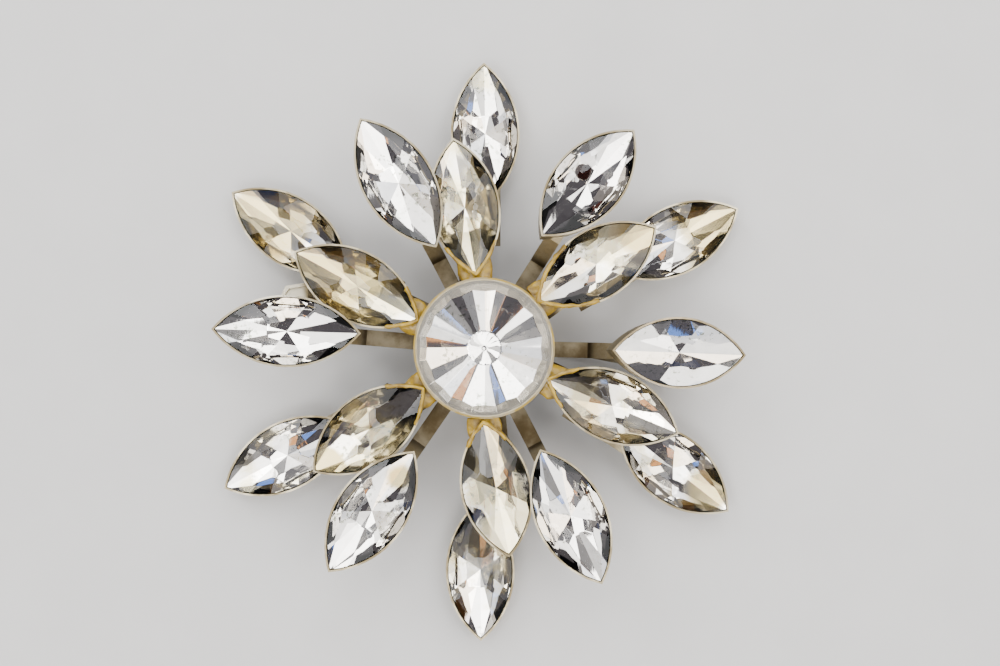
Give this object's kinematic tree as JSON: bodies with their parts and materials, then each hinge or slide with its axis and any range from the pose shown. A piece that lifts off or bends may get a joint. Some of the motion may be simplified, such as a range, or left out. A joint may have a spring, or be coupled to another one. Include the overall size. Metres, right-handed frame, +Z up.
{
  "type": "starburst brooch",
  "caption": "Starburst brooch of pointed oval stones in metal cups on two levels, round a domed round stone, with a pin across the back.",
  "frame": {"origin": "middle of the outline seen from above, at the lowest point, on the surface that the brooch rests on", "axes": "+Z up from the back to the face of the brooch, +Y along its longest extent towards the top long ray of the picture, +X to the right of the picture"},
  "size_m": [0.0571, 0.0642, 0.0131],
  "materials": {
    "cup_metal": "aged satin plating, yellowed by old glue at the necks",
    "pin_metal": "satin plating",
    "clear_stone": "clear faceted glass with a silver foil back, greyed in places",
    "yellowed_stone": "clear faceted glass whose foil back has yellowed"
  },
  "bodies": {
    "root": {"mounting": "cup_metal", "pin_stem": "pin_metal", "centre_stone": "clear_stone", "inner_stone_1": "yellowed_stone", "inner_stone_2": "yellowed_stone", "inner_stone_3": "yellowed_stone", "inner_stone_4": "yellowed_stone", "inner_stone_5": "yellowed_stone", "inner_stone_6": "yellowed_stone", "outer_stone_1": "clear_stone", "outer_stone_2": "clear_stone", "outer_stone_3": "clear_stone", "outer_stone_4": "clear_stone", "outer_stone_5": "clear_stone", "outer_stone_6": "clear_stone", "between_stone_1": "clear_stone", "between_stone_2": "clear_stone", "between_stone_3": "clear_stone", "between_stone_4": "clear_stone", "between_stone_5": "clear_stone", "between_stone_6": "clear_stone"}
  },
  "joints": []
}
